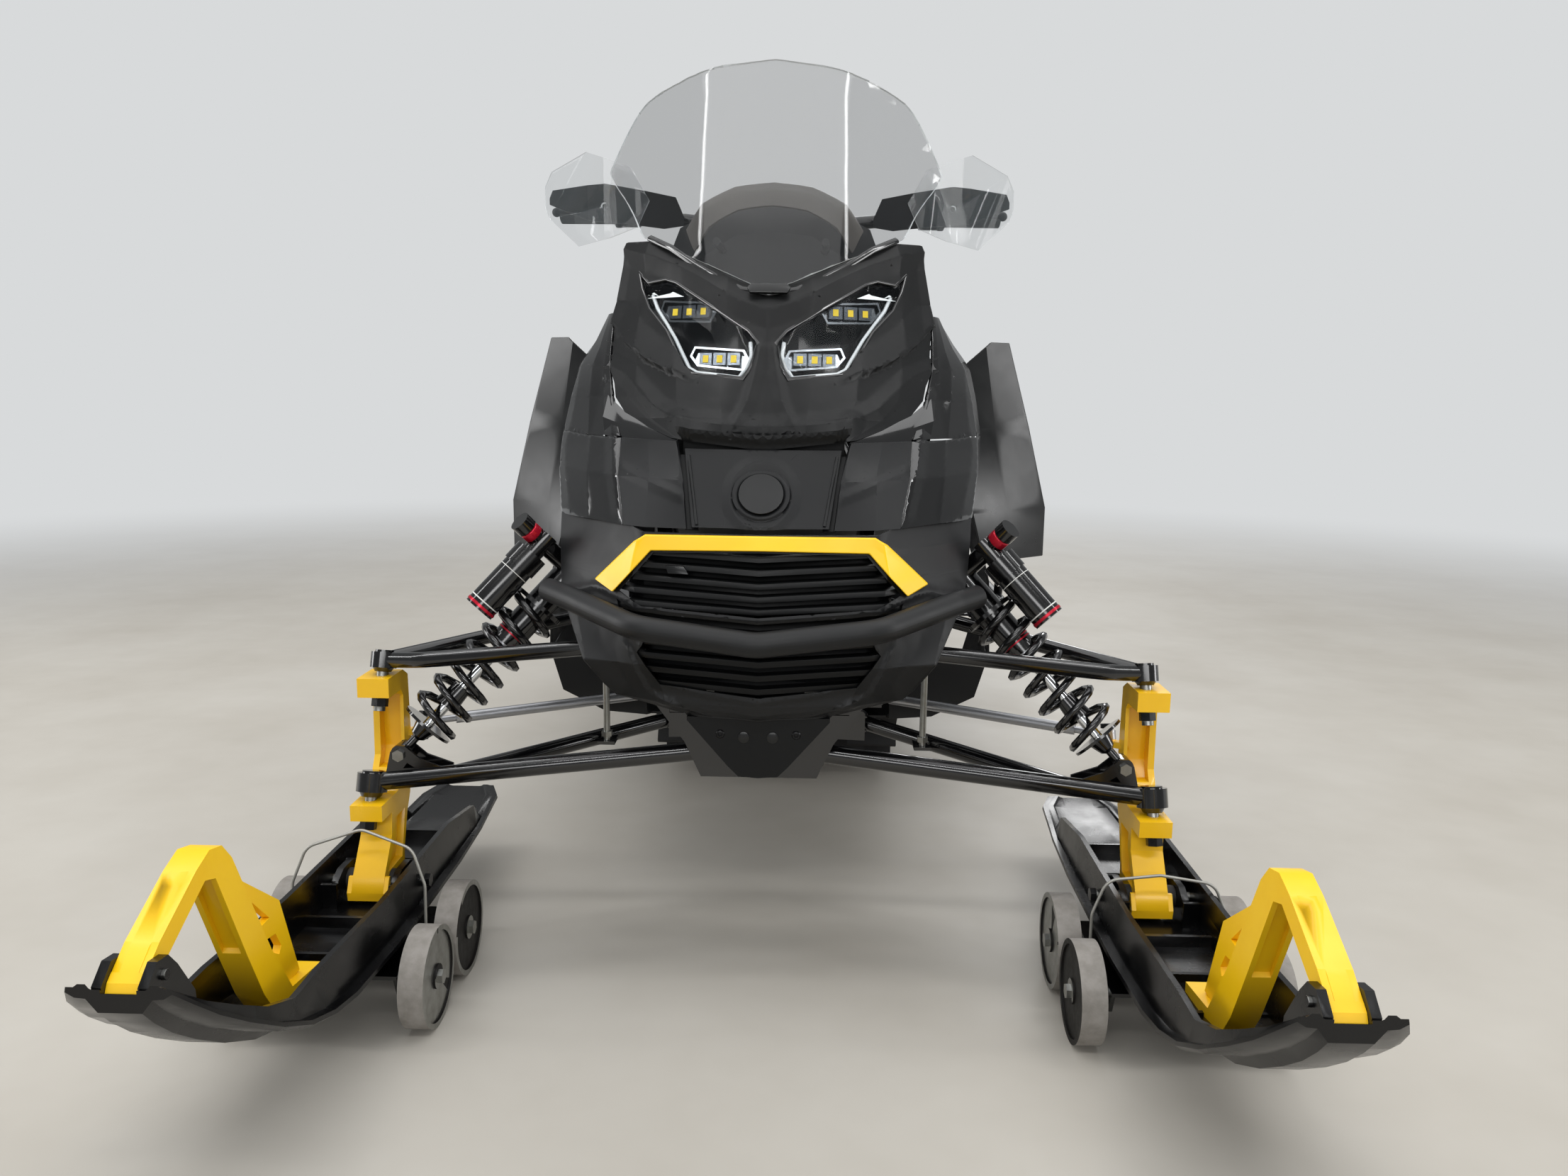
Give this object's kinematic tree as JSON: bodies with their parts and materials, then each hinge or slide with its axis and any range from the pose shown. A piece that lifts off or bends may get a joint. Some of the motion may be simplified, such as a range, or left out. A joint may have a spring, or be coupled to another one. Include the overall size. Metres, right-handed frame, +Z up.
{
  "type": "snowmobile",
  "caption": "Utility snowmobile with a rubber track, two steered skis with loop handles on wheeled show dollies, handlebar, windshield and seat.",
  "frame": {"origin": "on the floor, under the middle of the machine's outline, skis straight ahead", "axes": "+Z up, +Y to the rear, +X to the rider's left"},
  "size_m": [1.353, 3.324, 1.3111],
  "materials": {
    "aluminium": "satin",
    "black_cast": "satin",
    "charcoal_body": "matte",
    "chrome": "gloss",
    "clear_screen": "gloss",
    "dolly_tyre": "matte",
    "gloss_body": "gloss",
    "lamp_clear": "gloss",
    "lamp_red": "gloss",
    "matte_body": "matte",
    "rubber": "matte",
    "ski_plastic": "satin",
    "spring_steel": "gloss",
    "tunnel_alu": "satin",
    "vinyl": "matte",
    "wire": "satin",
    "yellow_cast": "gloss",
    "yellow_plastic": "gloss",
    "zinc_steel": "satin"
  },
  "bodies": {
    "chassis": {"upper_arms": "black_cast", "lower_arms": "black_cast", "shock_absorbers": "black_cast", "shock_springs": "spring_steel", "suspension_hardware": "zinc_steel", "front_frame": "black_cast", "bulkheads": "black_cast", "nose_cowl": "matte_body", "grille_backs": "matte_body", "brow_trim": "yellow_plastic", "front_bumper": "black_cast", "skid_plate": "matte_body", "hood": "matte_body", "fascia_panels": "charcoal_body", "badge_disc": "charcoal_body", "headlamp_lenses": "lamp_clear", "headlamp_buckets": "chrome", "side_panels": "gloss_body", "side_fins": "gloss_body", "belly_pan": "matte_body", "windshield": "clear_screen", "console": "matte_body", "engine_block": "aluminium", "tunnel": "tunnel_alu", "running_boards": "tunnel_alu", "seat": "vinyl", "cargo_rack": "black_cast", "tail_lamp": "lamp_red", "snow_flap": "rubber", "tow_hitch": "black_cast", "track": "rubber", "drive_axle": "zinc_steel", "slide_rails": "aluminium", "skid_arms": "black_cast", "idler_wheels": "rubber"},
    "steering": {"handlebar": "black_cast", "grips": "rubber", "controls": "matte_body", "hand_guards": "matte_body", "hand_screens": "clear_screen"},
    "ski_body_left": {"spindle_left": "yellow_cast", "ski_hardware_left": "zinc_steel", "ski_left": "ski_plastic", "ski_handle_left": "yellow_plastic", "ski_bushes_left": "rubber", "ski_dolly_left": "black_cast", "dolly_wire_left": "wire"},
    "tie_rod_body_left": {"tie_rod_left": "aluminium"},
    "dolly_axle_body_left_front": {"dolly_axle_left_front": "dolly_tyre"},
    "dolly_axle_body_left_rear": {"dolly_axle_left_rear": "dolly_tyre"},
    "ski_body_right": {"spindle_right": "yellow_cast", "ski_hardware_right": "zinc_steel", "ski_right": "ski_plastic", "ski_handle_right": "yellow_plastic", "ski_bushes_right": "rubber", "ski_dolly_right": "black_cast", "dolly_wire_right": "wire"},
    "tie_rod_body_right": {"tie_rod_right": "aluminium"},
    "dolly_axle_body_right_front": {"dolly_axle_right_front": "dolly_tyre"},
    "dolly_axle_body_right_rear": {"dolly_axle_right_rear": "dolly_tyre"}
  },
  "joints": [
    {"name": "steering", "type": "hinge", "parent": "chassis", "child": "steering", "pos_m": [0, -0.45, 1.105], "axis": [0, 0.3746, 0.9272], "range_deg": [-27, 27]},
    {"name": "ski_left_steer", "type": "hinge", "parent": "chassis", "child": "ski_body_left", "pos_m": [0.538, -1.06, 0.273], "axis": [-0.0471, 0.2533, 0.9662], "range_deg": [-23, 23]},
    {"name": "tie_rod_left_swing", "type": "hinge", "parent": "ski_body_left", "child": "tie_rod_body_left", "pos_m": [0.502, -0.948, 0.316], "axis": [-0.0471, 0.2533, 0.9662], "range_deg": [-23, 23]},
    {"name": "dolly_roll_left_front", "type": "hinge", "parent": "ski_body_left", "child": "dolly_axle_body_left_front", "pos_m": [0.538, -1.208, 0.065], "axis": [1, 0, 0], "continuous": true},
    {"name": "dolly_roll_left_rear", "type": "hinge", "parent": "ski_body_left", "child": "dolly_axle_body_left_rear", "pos_m": [0.538, -1.068, 0.065], "axis": [1, 0, 0], "continuous": true},
    {"name": "ski_right_steer", "type": "hinge", "parent": "chassis", "child": "ski_body_right", "pos_m": [-0.538, -1.06, 0.273], "axis": [0.0471, 0.2533, 0.9662], "range_deg": [-23, 23]},
    {"name": "tie_rod_right_swing", "type": "hinge", "parent": "ski_body_right", "child": "tie_rod_body_right", "pos_m": [-0.502, -0.948, 0.316], "axis": [0.0471, 0.2533, 0.9662], "range_deg": [-23, 23]},
    {"name": "dolly_roll_right_front", "type": "hinge", "parent": "ski_body_right", "child": "dolly_axle_body_right_front", "pos_m": [-0.538, -1.208, 0.065], "axis": [1, 0, 0], "continuous": true},
    {"name": "dolly_roll_right_rear", "type": "hinge", "parent": "ski_body_right", "child": "dolly_axle_body_right_rear", "pos_m": [-0.538, -1.068, 0.065], "axis": [1, 0, 0], "continuous": true}
  ],
  "couplings": [
    {"joint": "ski_left_steer", "follows": "steering", "ratio": 0.85},
    {"joint": "tie_rod_left_swing", "follows": "steering", "ratio": -0.85},
    {"joint": "ski_right_steer", "follows": "steering", "ratio": 0.85},
    {"joint": "tie_rod_right_swing", "follows": "steering", "ratio": -0.85}
  ]
}
